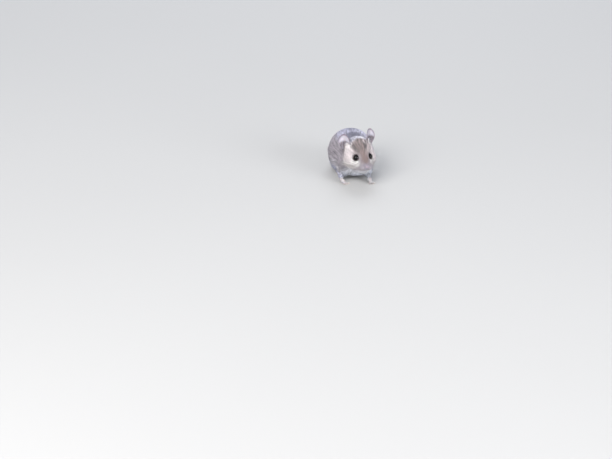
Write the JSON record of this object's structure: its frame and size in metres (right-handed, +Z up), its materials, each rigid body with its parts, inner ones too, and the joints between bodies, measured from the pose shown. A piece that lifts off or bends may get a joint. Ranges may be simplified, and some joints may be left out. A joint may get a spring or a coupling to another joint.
{
  "type": "field mouse",
  "caption": "Young long-tailed field mouse in grey-brown coat, crouched on all fours with its head low and its tail curled behind it.",
  "frame": {"origin": "on the floor, under the middle of the whole mouse with its tail", "axes": "+Z up, the nose points along -Y and the tail lies towards +Y, +X is the mouse's left side"},
  "size_m": [0.0282, 0.0752, 0.0302],
  "materials": {
    "grey_coat": "short soft grey-brown fur",
    "face_coat": "very short brown and buff fur",
    "pale_coat": "short pale fur",
    "ear_skin": "thin, nearly bare skin with fine down",
    "foot_skin": "pink skin with sparse white hairs",
    "tail_skin": "finely ringed skin, dark above and pale below",
    "nose_skin": "moist pink-grey skin",
    "eye": "wet black gloss"
  },
  "bodies": {
    "root": {"trunk": "grey_coat", "neck": "grey_coat", "head": "face_coat", "nose": "nose_skin", "ear_left": "ear_skin", "eye_left": "eye", "foreleg_left": "pale_coat", "forefoot_left": "foot_skin", "hindleg_left": "grey_coat", "hindfoot_left": "foot_skin", "ear_right": "ear_skin", "eye_right": "eye", "foreleg_right": "pale_coat", "forefoot_right": "foot_skin", "hindleg_right": "grey_coat", "hindfoot_right": "foot_skin", "tail_1": "tail_skin", "tail_2": "tail_skin", "tail_3": "tail_skin", "tail_4": "tail_skin", "tail_5": "tail_skin"}
  },
  "joints": []
}
